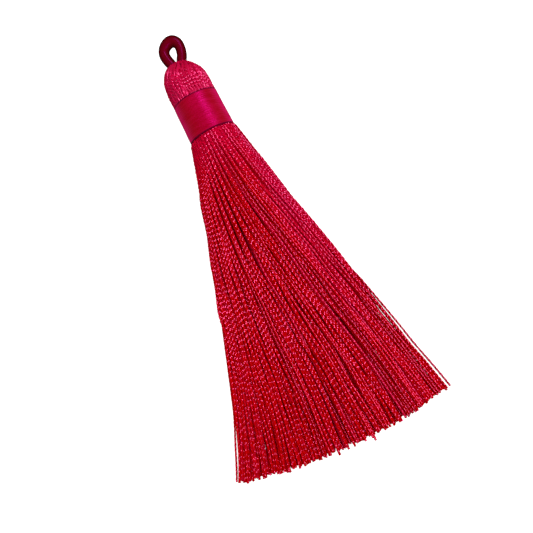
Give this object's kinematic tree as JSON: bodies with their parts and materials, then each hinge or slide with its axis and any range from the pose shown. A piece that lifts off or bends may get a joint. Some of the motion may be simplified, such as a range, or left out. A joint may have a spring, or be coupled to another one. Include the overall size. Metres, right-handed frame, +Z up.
{
  "type": "silk tassel",
  "caption": "Silk tassel lying flat: a round head bound at the neck with wound thread, a short cord loop at its crown and a long fanned skirt of twisted strands.",
  "frame": {"origin": "on the surface that the tassel lies on, under the middle of the neck binding", "axes": "+Z up from the surface, +Y along the head towards the hanging loop, +X across the tassel to the right as seen from above with the loop away from the viewer"},
  "size_m": [0.0421, 0.0816, 0.0082],
  "materials": {
    "silk_yarn": "glossy twisted silk",
    "binding_thread": "glossy fine thread",
    "loop_cord": "smooth satin cord"
  },
  "bodies": {
    "root": {"yarn_hank": "silk_yarn", "neck_wrap": "binding_thread", "hanging_loop": "loop_cord"}
  },
  "joints": []
}
